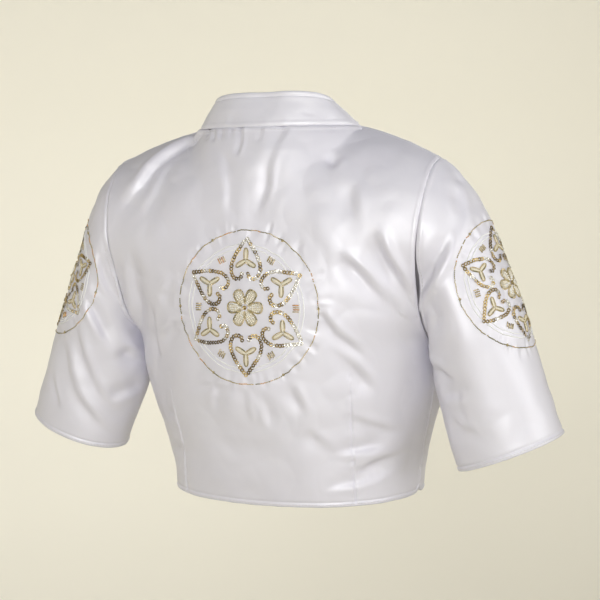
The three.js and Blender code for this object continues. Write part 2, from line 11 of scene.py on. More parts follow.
import bmesh
import bpy
import numpy as np
from mathutils import Matrix, Vector, kdtree, noise
from mathutils.bvhtree import BVHTree


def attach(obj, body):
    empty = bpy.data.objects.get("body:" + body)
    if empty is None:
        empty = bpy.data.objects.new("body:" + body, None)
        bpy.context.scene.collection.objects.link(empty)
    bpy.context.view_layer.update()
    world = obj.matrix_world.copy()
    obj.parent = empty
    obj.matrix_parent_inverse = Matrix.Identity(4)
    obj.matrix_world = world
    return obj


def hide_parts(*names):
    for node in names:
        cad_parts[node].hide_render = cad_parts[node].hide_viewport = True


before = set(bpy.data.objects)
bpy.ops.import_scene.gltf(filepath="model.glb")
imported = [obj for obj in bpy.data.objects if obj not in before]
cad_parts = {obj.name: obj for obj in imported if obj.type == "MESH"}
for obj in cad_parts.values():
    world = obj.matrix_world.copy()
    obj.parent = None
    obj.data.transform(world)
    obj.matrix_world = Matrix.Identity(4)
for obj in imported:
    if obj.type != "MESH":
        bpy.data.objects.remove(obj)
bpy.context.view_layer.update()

# Satin: the blouse is cut from one cool white satin, a smooth close weave with a soft sheen. Its faint
# slubs run up and down, and the tone clouds a little where the cloth has been pressed and handled.


def satin_weave():
    """Node group of effects: cloudy tone, fine slubs and the height of the weave."""
    group = bpy.data.node_groups.new("satin weave", "ShaderNodeTree")
    group.interface.new_socket("Place", in_out="INPUT", socket_type="NodeSocketVector")
    group.interface.new_socket("Tone", in_out="OUTPUT", socket_type="NodeSocketFloat")
    group.interface.new_socket("Slub", in_out="OUTPUT", socket_type="NodeSocketFloat")
    group.interface.new_socket("Height", in_out="OUTPUT", socket_type="NodeSocketFloat")
    nodes, links = group.nodes, group.links
    start = nodes.new("NodeGroupInput")
    end = nodes.new("NodeGroupOutput")
    clouds = nodes.new("ShaderNodeTexNoise")
    clouds.inputs["Scale"].default_value = 11
    clouds.inputs["Detail"].default_value = 3
    clouds.inputs["Roughness"].default_value = 0.45
    links.new(start.outputs["Place"], clouds.inputs["Vector"])
    links.new(clouds.outputs["Fac"], end.inputs["Tone"])
    stretch = nodes.new("ShaderNodeMapping")
    stretch.inputs["Scale"].default_value = (900, 900, 60)
    links.new(start.outputs["Place"], stretch.inputs["Vector"])
    threads = nodes.new("ShaderNodeTexNoise")
    threads.inputs["Scale"].default_value = 1
    threads.inputs["Detail"].default_value = 2
    links.new(stretch.outputs["Vector"], threads.inputs["Vector"])
    links.new(threads.outputs["Fac"], end.inputs["Slub"])
    ripple = nodes.new("ShaderNodeTexNoise")
    ripple.inputs["Scale"].default_value = 120
    ripple.inputs["Detail"].default_value = 2
    links.new(start.outputs["Place"], ripple.inputs["Vector"])
    both = nodes.new("ShaderNodeMath")
    both.operation = "MULTIPLY_ADD"
    both.inputs[1].default_value = 0.35
    links.new(threads.outputs["Fac"], both.inputs[0])
    links.new(ripple.outputs["Fac"], both.inputs[2])
    links.new(both.outputs["Value"], end.inputs["Height"])
    return group


weave = satin_weave()


def satin(name, light, shade, roughness):
    material = bpy.data.materials.new(name)
    material.use_nodes = True
    nodes, links = material.node_tree.nodes, material.node_tree.links
    surface = nodes["Principled BSDF"]
    place = nodes.new("ShaderNodeTexCoord")
    effects = nodes.new("ShaderNodeGroup")
    effects.node_tree = weave
    links.new(place.outputs["Object"], effects.inputs["Place"])
    tint = nodes.new("ShaderNodeMix")
    tint.data_type = "RGBA"
    tint.inputs["A"].default_value = (*light, 1)
    tint.inputs["B"].default_value = (*shade, 1)
    links.new(effects.outputs["Tone"], tint.inputs["Factor"])
    links.new(tint.outputs["Result"], surface.inputs["Base Color"])
    spread = nodes.new("ShaderNodeMapRange")
    spread.inputs["To Min"].default_value = roughness - 0.04
    spread.inputs["To Max"].default_value = roughness + 0.06
    links.new(effects.outputs["Slub"], spread.inputs["Value"])
    links.new(spread.outputs["Result"], surface.inputs["Roughness"])
    surface.inputs["IOR"].default_value = 1.75
    surface.inputs["Specular IOR Level"].default_value = 1.0
    bump = nodes.new("ShaderNodeBump")
    bump.inputs["Strength"].default_value = 0.10
    bump.inputs["Distance"].default_value = 0.0004
    links.new(effects.outputs["Height"], bump.inputs["Height"])
    links.new(bump.outputs["Normal"], surface.inputs["Normal"])
    return material


body_satin = satin("white satin", (0.785, 0.775, 0.845), (0.69, 0.675, 0.765), 0.47)
collar_satin = satin("collar satin", (0.80, 0.79, 0.86), (0.725, 0.715, 0.80), 0.46)


# Cloth: each cut piece is a thin sheet, turned in along its seams and folded under along its hems. The
# sheet follows the outer side of the piece's solid wall, which is found here and made fine enough to crease.
# The table gives the thickness of each wall.
WALLS = {
    "back": 1.6,
    "front_left": 1.6,
    "front_right": 1.6,
    "sleeve_left": 1.6,
    "sleeve_right": 1.6,
    "collar": 1.8,
}


def outer_side(node, wall):
    """The outer side of a solid wall as quads. Its rims are cut away, and the larger side is the outer."""
    bm = bmesh.new()
    bm.from_mesh(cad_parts[node].data)
    bmesh.ops.remove_doubles(bm, verts=bm.verts, dist=0.00001)
    rims = [e for e in bm.edges if abs(e.calc_length() - wall / 1000) < 0.00001]
    bmesh.ops.delete(bm, geom=rims, context="EDGES")
    bmesh.ops.delete(bm, geom=[e for e in bm.edges if not e.link_faces], context="EDGES")
    sides, left = [], set(bm.faces)
    while left:
        side = [left.pop()]
        for face in side:
            near = {f for e in face.edges for f in e.link_faces if f in left}
            side.extend(near)
            left -= near
        sides.append(side)
    keep = set(max(sides, key=lambda side: sum(f.calc_area() for f in side)))
    bmesh.ops.delete(bm, geom=[f for f in bm.faces if f not in keep], context="FACES")
    bmesh.ops.dissolve_edges(bm, edges=diagonals(bm), use_verts=False)
    bmesh.ops.recalc_face_normals(bm, faces=bm.faces)
    return bm


def diagonals(bm):
    """The diagonals of a triangulated grid, found by walking out from a square quad until none is left."""

    def quad_across(face, edge):
        a, c = edge.verts
        b = next(v for v in face.verts if v not in edge.verts)
        other = next(f for f in edge.link_faces if f is not face)
        d = next(v for v in other.verts if v not in edge.verts)
        return (a, b, c, d), other

    def unevenness(edge):
        (a, b, c, d), _ = quad_across(edge.link_faces[0], edge)
        size = (a.co - c.co).length
        return ((a.co + c.co - b.co - d.co).length + abs(size - (b.co - d.co).length)) / size

    def walk(first, surest_first):
        used, found, waiting = set(), [], [(0, 0, 0, first.link_faces[0], first)]
        while waiting:
            *_, face, diagonal = heapq.heappop(waiting)
            if len(diagonal.link_faces) < 2 or used.intersection(diagonal.link_faces):
                continue
            corners, other = quad_across(face, diagonal)
            used.update((face, other))
            found.append(diagonal)
            for turn in range(4):
                a, b, c, d = (corners[(turn + k) % 4] for k in range(4))
                side = next(e for e in b.link_edges if c in e.verts)
                for near in (f for f in side.link_faces if f not in used):
                    x = next(v for v in near.verts if v not in (b, c))
                    by_b = (x.co - 2 * b.co + a.co).length
                    by_c = (x.co - 2 * c.co + d.co).length
                    end, doubt = (c, by_b / by_c) if by_b < by_c else (b, by_c / by_b)
                    guess = next(e for e in x.link_edges if end in e.verts)
                    rank = doubt if surest_first else 0
                    heapq.heappush(waiting, (rank, len(found), turn, near, guess))
        return found

    inner = sorted((e for e in bm.edges if len(e.link_faces) == 2), key=unevenness)
    tries = (walk(first, surest) for first in inner[:60] for surest in (True, False))
    best = []
    for found in tries:
        best = max(best, found, key=len)
        if 2 * len(best) == len(bm.faces):
            break
    return best


coarse = {node: outer_side(node, wall) for node, wall in WALLS.items()}


def refined(bm, level, name):
    """The sheet subdivided smoothly as a mesh. Its seams, hems and corners keep their line."""
    mesh = bpy.data.meshes.new(name)
    bm.to_mesh(mesh)
    cage = bpy.data.objects.new(name, mesh)
    bpy.context.collection.objects.link(cage)
    smoother = cage.modifiers.new("smooth", "SUBSURF")
    smoother.levels = smoother.render_levels = level
    smoother.boundary_smooth = "PRESERVE_CORNERS"
    fine = bpy.data.meshes.new_from_object(cage.evaluated_get(bpy.context.evaluated_depsgraph_get()))
    bpy.data.objects.remove(cage)
    return fine


# Where three pieces meet, their corners are held sharp. A narrow strip along each edge gives it the points
# for its turned seam or its hem. Edges that lie within SEWN of each other are sewn together.
SEAM_STRIP = 1.6
HEM_STRIP = 5.0
SEWN = 0.0012
borders = {node: [v.co.copy() for v in bm.verts if v.is_boundary] for node, bm in coarse.items()}
sheets = {}
for node, bm in coarse.items():
    held = bm.verts.layers.float.new("crease_vert")
    for vert in bm.verts:
        if vert.is_boundary:
            met = [n for n, line in borders.items() if min((p - vert.co).length for p in line) < SEWN]
            if len(met) > 2:
                vert[held] = 1
    for strip in (SEAM_STRIP, HEM_STRIP):
        inner = [f for f in bm.faces if not f.tag]
        made = bmesh.ops.inset_region(
            bm, faces=inner, thickness=strip / 1000, use_boundary=True, use_even_offset=True
        )
        for face in made["faces"]:
            face.tag = True
    sheets[node] = (refined(bm, 3, node), refined(bm, 2, node + " inside"))

# Darts: two in the back and one in each front, stitched up from the hem. Each has its foot and its top. The
# sheets get rows of points of their own along them, at these distances from the stitched line.
DART_ROWS = (-2.4, -1.2, -0.5, 0, 0.5, 1.2, 2.4)
DARTS = {
    "back": [
        [(95.5, 31.6, -371.9), (99.2, 59.8, -242.9)],
        [(-95.5, 31.6, -371.9), (-99.2, 59.8, -242.9)],
    ],
    "front_left": [[(78, -146, -374), (80, -160, -262)]],
    "front_right": [[(-78, -146, -374), (-80, -160, -262)]],
}
for node, darts in DARTS.items():
    bm = bmesh.new()
    bm.from_mesh(sheets[node][0])
    for dart in darts:
        foot, top = (Vector(point) / 1000 for point in dart)
        across = (top - foot).cross(Vector((0, 1, 0))).normalized()
        for offset in DART_ROWS:
            near = []
            for face in bm.faces:
                middle = face.calc_center_median()
                if abs((middle - foot).dot(across)) < 0.005 and middle.z < top.z + 0.002:
                    near.append(face)
            edges = list({e for f in near for e in f.edges})
            points = list({v for f in near for v in f.verts})
            cut_at = foot + across * offset / 1000
            parts = near + edges + points
            bmesh.ops.bisect_plane(bm, geom=parts, dist=0.00005, plane_co=cut_at, plane_no=across)
    bm.to_mesh(sheets[node][0])
    bm.free()


def corners_of(mesh):
    places = np.empty(len(mesh.vertices) * 3)
    mesh.vertices.foreach_get("co", places)
    return places.reshape(-1, 3)


def border_of(mesh):
    """Indices of the points on a mesh's open edge."""
    uses = np.zeros(len(mesh.edges), int)
    np.add.at(uses, [loop.edge_index for loop in mesh.loops], 1)
    ends = np.array([e.vertices[:] for e in mesh.edges])
    return np.unique(ends[uses == 1])


def tree_of(points):
    tree = kdtree.KDTree(len(points))
    for index, point in enumerate(points):
        tree.insert(point, index)
    tree.balance()
    return tree


edge_trees = [{}, {}]
for node, pair in sheets.items():
    for trees, mesh in zip(edge_trees, pair):
        trees[node] = tree_of(corners_of(mesh)[border_of(mesh)])


def edge_facts(node, side):
    """For each point of a sheet: its distance from the nearest seam and from the nearest free edge, those
    edges' nearest points, and how far the seam there has to move to meet the piece that it is sewn to."""
    mesh = sheets[node][side]
    places = corners_of(mesh)
    seam, free = [], []
    for index in border_of(mesh):
        here = Vector(places[index])
        near = [tree.find(here) for other, tree in edge_trees[side].items() if other != node]
        met = [place for place, _, distance in near if distance < SEWN]
        if met:
            seam.append((here, sum(met, here) / (len(met) + 1) - here))
        else:
            free.append((here, Vector()))
    facts = []
    for line in (seam, free):
        tree = tree_of([point for point, _ in line] or [Vector((9, 9, 9))])
        found = [tree.find(point) for point in places]
        nearest = np.array([hit[0] for hit in found])
        distance = np.array([hit[2] for hit in found])
        moves = np.array([line[hit[1]][1] if line else (0, 0, 0) for hit in found])
        facts.append((distance * 1000, nearest, moves))
    return facts


def fade(distance, reach):
    return np.exp(-((distance / reach) ** 2))


def wander(points, size, seed, amount=1.0):
    """Smooth noise at points in metres, for features of a size in millimetres."""
    offset = Vector((seed * 3.1, seed * 7.7, seed * 1.3))
    scale = 1000 / size
    return amount * np.array([noise.noise(Vector(p) * scale + offset) for p in points])


def folds_at(places, normals, folds):
    """How far in each point lies, in millimetres, under a table of folds. A fold is a soft trough along a
    line, steep on one side, where it lifts into a ridge, and shallow on the other. Its ends fade out,
    unless the table starts or ends it in full at a seam."""
    depth = np.zeros(len(places))
    for seed, (line, width, deep, steep, starts, ends) in enumerate(folds):
        line = np.array(line, float)
        reach = 3 * width
        low, high = line.min(0) - reach, line.max(0) + reach
        near = np.where(((places > low) & (places < high)).all(1))[0]
        if not len(near):
            continue
        points = places[near]
        lengths = np.linalg.norm(np.diff(line, axis=0), axis=1)
        best = np.full(len(near), 1e9)
        along, side = np.zeros(len(near)), np.zeros(len(near))
        for k, length in enumerate(lengths):
            run = line[k + 1] - line[k]
            share = np.clip((points - line[k]) @ run / length**2, 0, 1)
            off = points - line[k] - share[:, None] * run
            distance = np.linalg.norm(off, axis=1)
            better = distance < best
            best = np.where(better, distance, best)
            along = np.where(better, (lengths[:k].sum() + share * length) / lengths.sum(), along)
            turned = np.einsum("ij,ij->i", np.cross(run, off), normals[near])
            side = np.where(better, np.sign(turned), side)
        across = best * side * (1 if steep >= 0 else -1) / width
        sharp = abs(steep)
        spread = np.where(across > 0, 1 - 0.55 * sharp, 1 + 0.4 * sharp)
        trough = np.exp(-((across / spread) ** 2))
        ridge = 0.45 * sharp * np.exp(-(((across - 1.2) / 0.6) ** 2))
        risen = np.clip(along / 0.35, 0, 1)
        rising = starts + (1 - starts) * risen**2 * (3 - 2 * risen)
        left = np.clip((1 - along) / 0.45, 0, 1)
        falling = ends + (1 - ends) * left**2 * (3 - 2 * left)
        uneven = 1 + 0.3 * np.sin(along * (5 + seed % 4) + seed)
        depth[near] += deep * (trough - ridge) * rising * falling * uneven
    return depth


def surface_of(mesh):
    """A mesh's faces as a tree, to find the nearest point on."""
    return BVHTree.FromPolygons([v.co for v in mesh.vertices], [p.vertices for p in mesh.polygons])


def dart_folds(node):
    """The darts of a sheet as sharp folds that run out at the top, with small puckers across them."""
    tree = surface_of(sheets[node][1])

    def nearest(point):
        return tuple(tree.find_nearest(Vector(point) / 1000)[0] * 1000)

    folds = []
    for foot, top in DARTS[node]:
        line = [nearest(Vector(foot).lerp(Vector(top), share)) for share in (0, 0.25, 0.5, 0.75, 1)]
        folds.append((line, 1.1, 1.5, 0, 1, 0))
        for k, share in enumerate((0.04, 0.15, 0.31, 0.4, 0.56, 0.67, 0.83, 0.97)):
            x, y, z = Vector(foot).lerp(Vector(top), share)
            before = x - 9 + 3 * (k % 3), y, z + 2 - k % 5
            after = x + 10 - 2 * (k % 4), y, z + k % 4
            pucker = [nearest(before), nearest((x, y, z)), nearest(after)]
            folds.append((pucker, 2.6, 0.6, 0.5, 0, 0))
    return folds


def gathers(node, centre, upwards, radius, count, seed):
    """Short puckers that cross the rim of a sewn medallion, where its thread draws the cloth in."""
    tree = surface_of(sheets[node][1])
    start, normal, _, _ = tree.find_nearest(Vector(centre) / 1000)
    up = (Vector(upwards) - normal * normal.dot(Vector(upwards))).normalized()
    right = up.cross(normal)
    rng = random.Random(seed)
    made = []
    for k in range(count):
        angle = math.tau * (k + rng.uniform(-0.35, 0.35)) / count
        heading = right * math.cos(angle) + up * math.sin(angle)
        reaches = rng.uniform(0.8, 0.97), 1.0, rng.uniform(1.04, 1.25)
        spots = [start + heading * radius * reach / 1000 for reach in reaches]
        line = [tuple(tree.find_nearest(spot)[0] * 1000) for spot in spots]
        made.append((line, rng.uniform(2.2, 4.0), rng.uniform(0.4, 1.1), rng.uniform(-0.8, 0.8), 0.2, 0))
    return made


def shaped(node, side, folds, sewn, thickness):
    """Places of one side of a sheet once it is creased, sewn in at its seams and hemmed. Loose folds stray
    a little from their lines, sewn ones keep to them. Depths and distances are in millimetres."""
    mesh = sheets[node][side]
    places = corners_of(mesh)
    normals = np.array([v.vector[:] for v in mesh.vertex_normals])
    (seam, seam_at, pull), (free, free_at, _) = edge_facts(node, side)
    strayed = np.stack([wander(places, 34, 11 + axis, 2.2) for axis in range(3)], axis=1)
    near_edge = np.clip(np.minimum(seam, free) / 20, 0, 1)[:, None]
    depth = folds_at(places * 1000 + strayed * near_edge, normals, folds)
    depth += folds_at(places * 1000, normals, sewn)
    # Slack cloth: wide soft waves that die away towards the edges, and blunt ridges where it creases
    inland = np.clip(np.minimum(seam, free) / 26, 0, 1)
    depth += (wander(places, 72, 1, 2.4) + wander(places, 37, 7, 1.0)) * inland
    depth += wander(places, 19, 2, 0.3) * (0.3 + 0.7 * inland)
    depth += (0.45 - np.abs(wander(places, 40, 8, 1.9)) - np.abs(wander(places, 22, 9, 0.6))) * inland
    # Seams: puckered along the stitches, with a slight roll before the edge turns in
    puckers = wander(seam_at, 9, 3, 0.55) + wander(seam_at, 23, 4, 0.5)
    depth += puckers * fade(seam - 2.5, 5.5)
    depth -= 0.3 * fade(seam - 3.2, 1.5)
    depth += 0.95 * np.clip(1 - seam / 1.5, 0, 1) ** 1.5 * np.clip(free / 8, 0.2, 1)
    # Hems: rippled a little, sunk along the row of stitches, plump between it and the folded edge
    ripples = wander(free_at, 13, 5, 0.4) + wander(free_at, 33, 6, 0.7)
    depth += ripples * fade(free, 9)
    depth += 0.95 * fade(free - HEM_STRIP, 0.85) - 0.25 * fade(free - 2.4, 1.8)
    depth += 0.7 * np.clip(1 - free / 0.9, 0, 1) ** 2
    pulled = places + pull * np.clip(1 - seam / SEAM_STRIP, 0, 1)[:, None]
    thick = thickness + 0.5 * fade(free, 4.5) if side else 0
    return pulled - normals * ((depth + thick) / 1000)[:, None]


def loops_of(bm, faces):
    """The open edges of some faces, as loops of edges."""
    left = {e for f in faces for e in f.edges if e.is_boundary}
    loops = []
    while left:
        loop = [left.pop()]
        for edge in loop:
            near = {e for v in edge.verts for e in v.link_edges if e in left}
            loop.extend(near)
            left -= near
        loops.append(loop)
    return loops


def centre_of(loop):
    return sum((v.co for e in loop for v in e.verts), Vector()) / (2 * len(loop))


def cloth(node, material, folds, thickness=1.2, sewn=()):
    """The finished piece of cloth: both sides joined round their edges into one closed thin sheet."""
    bm = bmesh.new()
    halves = []
    for side in (0, 1):
        mesh = sheets[node][side]
        placed = shaped(node, side, folds, sewn, thickness)
        mesh.vertices.foreach_set("co", placed.ravel())
        first = len(bm.faces)
        bm.from_mesh(mesh)
        bm.faces.ensure_lookup_table()
        halves.append(bm.faces[first:])
    bmesh.ops.reverse_faces(bm, faces=halves[1])
    outer, inner = (loops_of(bm, half) for half in halves)
    for loop in outer:
        mate = min(inner, key=lambda other: (centre_of(other) - centre_of(loop)).length)
        bmesh.ops.bridge_loops(bm, edges=loop + mate)
    for face in bm.faces:
        face.smooth = True
    mesh = bpy.data.meshes.new(node + "_cloth")
    bm.to_mesh(mesh)
    mesh.materials.append(material)
    piece = bpy.data.objects.new(node + "_cloth", mesh)
    bpy.context.collection.objects.link(piece)
    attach(piece, "root")
    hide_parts(node)


# Back: one piece from side seam to side seam, cut with a narrow hem and shaped by two darts that rise from
# the hem. It pulls towards the armholes and the darts, and hangs in soft folds below the collar seam. Each
# row is a fold: its line, width, depth, steepness and side, and its share of depth at the start and the end.
BACK_FOLDS = [
    ([(70, 36, -4), (94, 30, -15), (108, 41, -29), (121, 52, -44), (127, 58, -58), (137, 62, -71),
      (154, 64, -92)], 10, 5.0, -0.9, 0.5, 0.1),
    ([(90, 38, -24), (103, 55, -46), (107, 63, -66), (114, 67, -82),
      (118, 71, -100)], 9.2, 2.8, -0.8, 0, 0),
    ([(18, 55, -4), (17, 61, -18), (18, 66, -34)], 3.2, 2.2, 1, 1, 0),
    ([(-27, 54, -5), (-22, 61, -19), (-18, 67, -38), (-16, 73, -61), (-11, 76, -80),
      (-8, 80, -102)], 6.5, 1.7, 0.8, 0.9, 0),
    ([(34, 57, -16), (26, 70, -50), (20, 75, -75), (16, 79, -98)], 7.5, 1.3, -0.6, 0, 0),
    ([(52, 48, -5), (49, 55, -18)], 2.6, 1.7, 0.7, 1, 0),
    ([(43, 51, -5), (41, 58, -17)], 2.6, 1.5, -0.7, 1, 0),
    ([(61, 43, -5), (60, 49, -16)], 2.8, 1.5, 0.6, 1, 0),
    ([(30, 54, -4), (30, 60, -15)], 2.4, 1.2, -0.7, 1, 0),
    ([(-5, 57, -4), (-4, 63, -20)], 2.6, 1, 0.5, 1, 0),
    ([(-83, 45, -29), (-80, 52, -37), (-76, 58, -47)], 6.9, 2.8, 0.6, 0, 0),
    ([(-96, 62, -52), (-101, 71, -81), (-106, 74, -112)], 10.3, 1.9, 0.5, 0, 0),
    ([(-122, 73, -102), (-135, 69, -128), (-142, 61, -145), (-153, 50, -166)], 8, 5.6, 0.9, 0, 0.4),
    ([(-90, 79, -126), (-97, 76, -134), (-112, 72, -147), (-124, 66, -162),
      (-141, 50, -180)], 8, 4.9, 0.8, 0, 0.3),
    ([(-70, 79, -180), (-88, 71, -202), (-100, 63, -214), (-114, 52, -228)], 6.9, 3.9, 0.9, 0, 0),
    ([(-78, 72, -214), (-95, 63, -230), (-107, 53, -246), (-120, 38, -264)], 8, 3.1, 0.7, 0, 0),
    ([(-82, 55, -282), (-104, 40, -291), (-117, 26, -297), (-132, 6, -304)], 6.9, 2.6, 0.8, 0, 0),
    ([(-72, 51, -321), (-94, 40, -317), (-109, 27, -315), (-126, 10, -309)], 6.3, 3, -0.8, 0, 0),
    ([(-84, 41, -343), (-108, 23, -335), (-125, 3, -329), (-134, -12, -316)], 6.9, 3, 0.8, 0, 0),
    ([(-49, 65, -298), (-65, 57, -312), (-82, 46, -329)], 8, 2.1, 0.6, 0, 0),
    ([(-62, 46, -357), (-92, 35, -350), (-112, 17, -344), (-128, -6, -337)], 5.8, 2.3, -0.7, 0, 0),
    ([(5, 80, -256), (4, 77, -274), (6, 70, -297)], 6.9, 1.9, 0.6, 0, 0),
    ([(-15, 79, -259), (-20, 75, -278), (-21, 68, -302)], 6.9, 2.1, -0.6, 0, 0),
    ([(-38, 78, -250), (-48, 73, -270), (-58, 64, -290)], 6.9, 2.3, 0.7, 0, 0),
    ([(28, 79, -251), (33, 76, -269), (43, 69, -290)], 6.9, 1.8, -0.6, 0, 0),
    ([(72, 68, -260), (43, 76, -258), (17, 79, -260), (-8, 79, -265)], 4.6, 1.2, 0.5, 0, 0),
    ([(50, 61, -312), (22, 63, -318), (-4, 64, -318), (-32, 64, -308)], 11.5, 1.8, 0.4, 0, 0),
    ([(132, 70, -118), (137, 61, -155), (138, 53, -180), (147, 25, -215)], 9.2, 5.2, -0.8, 0, 0.2),
    ([(115, 67, -174), (117, 58, -200), (118, 50, -221), (112, 50, -242)], 8, 3.9, 0.8, 0, 0),
    ([(77, 79, -150), (89, 76, -166), (104, 70, -178)], 6.9, 2.3, -0.7, 0, 0),
    ([(76, 76, -191), (91, 69, -206), (107, 57, -222)], 6.9, 2.4, -0.7, 0, 0),
    ([(96, 52, -290), (112, 38, -297), (126, 18, -303)], 6.9, 1.9, 0.7, 0, 0),
    ([(92, 45, -322), (110, 29, -330), (124, 8, -336)], 6.9, 1.8, -0.6, 0, 0),
]
# The medallion's centre, its upward direction and its radius
BACK_MEDALLION = (0, 85.2, -179), (0, 0, 1), 75
back_sewn = dart_folds("back") + gathers("back", *BACK_MEDALLION, 44, 5)
cloth("back", body_satin, BACK_FOLDS, sewn=back_sewn)

# Fronts: two lapped halves of the same satin, the right one over the left, each shaped by a dart and with a
# little fullness over the bust. They are sewn to the back along the shoulders and the sides.
FRONT_FOLDS = [
    ([(136, -86, -112), (122, -104, -135), (106, -122, -160)], 8.8, 2.7, 0.8, 0, 0),
    ([(138, -92, -150), (120, -114, -172), (104, -128, -190)], 8.8, 2.2, -0.7, 0, 0),
    ([(60, -168, -268), (64, -160, -300), (70, -150, -338)], 9.9, 2.4, 0.6, 0, 0),
    ([(108, -118, -262), (104, -114, -296), (98, -112, -330)], 8.8, 2, -0.6, 0, 0),
    ([(126, -88, -262), (114, -104, -250), (98, -124, -240)], 7.7, 1.8, 0.6, 0, 0),
    ([(60, -96, -60), (76, -88, -78), (96, -90, -100)], 9.9, 1.5, 0.6, 0, 0),
]
mirrored_folds = []
for points, width, deep, steep, starts, ends in FRONT_FOLDS:
    mirrored = [(-x, y, z) for x, y, z in points]
    mirrored_folds.append((mirrored, width * 1.1, deep * 0.85, -steep, starts, ends))
for node, folds in (("front_left", FRONT_FOLDS), ("front_right", mirrored_folds)):
    cloth(node, body_satin, folds, sewn=dart_folds(node))

# Sleeves: each is set smoothly into its armhole and hangs to the elbow, with its seam under the arm. The
# cloth gathers in long curved folds behind the arm and breaks under it.
LEFT_SLEEVE_FOLDS = [
    ([(190, 61, -166), (192, 60, -176), (185, 54, -195), (177, 45, -216),
      (174, 37, -236)], 6.6, 3.6, -0.8, 0, 0),
    ([(213, 56, -196), (211, 55, -210), (208, 51, -234), (199, 45, -261), (189, 34, -285),
      (176, 12, -301)], 7.7, 3.9, 0.8, 0, 0),
    ([(230, 48, -212), (229, 48, -225), (226, 48, -253), (216, 46, -280), (202, 37, -304),
      (186, 14, -324)], 7.7, 3.6, 0.9, 0, 0),
    ([(250, 39, -250), (245, 44, -275), (238, 45, -298)], 5.5, 2.4, 0.8, 0, 0),
    ([(172, 64, -108), (168, 62, -129), (165, 56, -145), (155, 52, -162)], 5.5, 3, 0.8, 0, 0.2),
    ([(180, 64, -116), (176, 59, -147), (171, 51, -164), (163, 41, -180)], 5.5, 2.7, -0.8, 0, 0.2),
    ([(172, 38, -224), (163, 19, -240), (158, -6, -250)], 8.8, 4.5, 0.6, 0, 0),
    ([(188, 36, -282), (169, 18, -273), (161, -6, -266)], 8.8, 4.2, -0.6, 0, 0),
    ([(205, -52, -190), (196, -50, -220), (186, -42, -250)], 7.7, 3, 0.8, 0, 0),
    ([(228, -50, -220), (222, -50, -256), (206, -42, -292)], 8.8, 3, -0.8, 0, 0),
    ([(188, -50, -110), (178, -56, -140), (168, -52, -168)], 6.6, 2.7, 0.7, 0, 0.2),
]
RIGHT_SLEEVE_FOLDS = [
    ([(-160, 44, -168), (-177, 59, -146), (-187, 61, -130), (-194, 57, -113),
      (-195, 51, -96)], 8.8, 6.3, -0.9, 0.4, 0),
    ([(-191, 30, -57), (-198, 34, -71), (-202, 42, -90), (-199, 54, -113)], 8.8, 2.4, 0.6, 0, 0),
    ([(-180, 20, -38), (-191, 19, -49), (-201, 23, -64)], 5.5, 1.4, 0.6, 0.4, 0),
    ([(-174, 52, -168), (-183, 52, -187), (-173, 40, -206)], 7.7, 2.4, -0.7, 0, 0),
    ([(-164, 12, -233), (-184, 39, -240), (-202, 47, -248)], 7.7, 3.6, 0.9, 0.3, 0),
    ([(-174, 26, -262), (-202, 45, -256), (-221, 49, -245)], 8.8, 2.4, -0.7, 0, 0),
    ([(-186, 29, -281), (-202, 38, -295), (-222, 44, -298), (-240, 45, -290)], 7.7, 2.4, 0.7, 0, 0),
    ([(-198, 44, -252), (-202, 43, -271), (-206, 40, -291)], 6.6, 1.8, 0.6, 0, 0),
    ([(-205, -52, -186), (-196, -50, -216), (-184, -42, -246)], 7.7, 3, -0.8, 0, 0),
    ([(-228, -50, -226), (-220, -50, -260), (-206, -42, -290)], 8.8, 2.7, 0.8, 0, 0),
    ([(-188, -50, -112), (-178, -56, -142), (-167, -52, -170)], 6.6, 2.7, -0.7, 0, 0.2),
]
LEFT_MEDALLION = (231, 27, -152), (-0.35, 0, 0.94), 63
RIGHT_MEDALLION = (-243.5, 12, -154), (0.35, 0, 0.94), 63
left_rim = gathers("sleeve_left", *LEFT_MEDALLION, 34, 8)
right_rim = gathers("sleeve_right", *RIGHT_MEDALLION, 34, 9)
cloth("sleeve_left", body_satin, LEFT_SLEEVE_FOLDS, sewn=left_rim)
cloth("sleeve_right", body_satin, RIGHT_SLEEVE_FOLDS, sewn=right_rim)

# Collar: a plain band folded along its upper edge, sewn into the neck seam, that stands at the back and
# lies over towards the foot of the V in front.
COLLAR_FOLDS = [
    ([(30, 54, 4), (34, 52, 16)], 6, 0.5, 0.5, 0.6, 0),
    ([(-48, 46, 6), (-52, 42, 22)], 9, 0.6, 0.5, 0, 0),
    ([(84, -20, 0), (92, -30, 10)], 8, 0.8, 0.5, 0, 0),
    ([(-84, -20, 0), (-92, -30, 10)], 8, 0.8, 0.5, 0, 0),
]
cloth("collar", collar_satin, COLLAR_FOLDS, thickness=1.6)

# Trim: stitches, sequins, beads and cord are small shapes, each made once and set down many times on the
# cloth as one joined piece.


def shape_of(build):
    """Points and faces of a small shape that is one unit wide, built by a function of a bmesh."""
    bm = bmesh.new()
    build(bm)
    bm.verts.index_update()
    made = np.array([v.co[:] for v in bm.verts]), [[v.index for v in f.verts] for f in bm.faces]
    bm.free()
    return made


def ball(bm):
    bmesh.ops.create_uvsphere(bm, u_segments=6, v_segments=5, radius=0.5)


def tube(bm):
    lying = Matrix.Rotation(math.pi / 2, 4, "Y")
    bmesh.ops.create_cone(bm, cap_ends=True, segments=6, radius1=0.5, radius2=0.5, depth=1, matrix=lying)


def pad(bm):
    """A plump finger with full, round ends."""
    lying = Matrix.Rotation(math.pi / 2, 4, "Y")
    bmesh.ops.create_uvsphere(bm, u_segments=12, v_segments=10, radius=0.5, matrix=lying)
    for vert in bm.verts:
        fuller = max(1 - 4 * vert.co.x**2, 0.01) ** -0.25
        vert.co.y *= fuller
        vert.co.z *= fuller


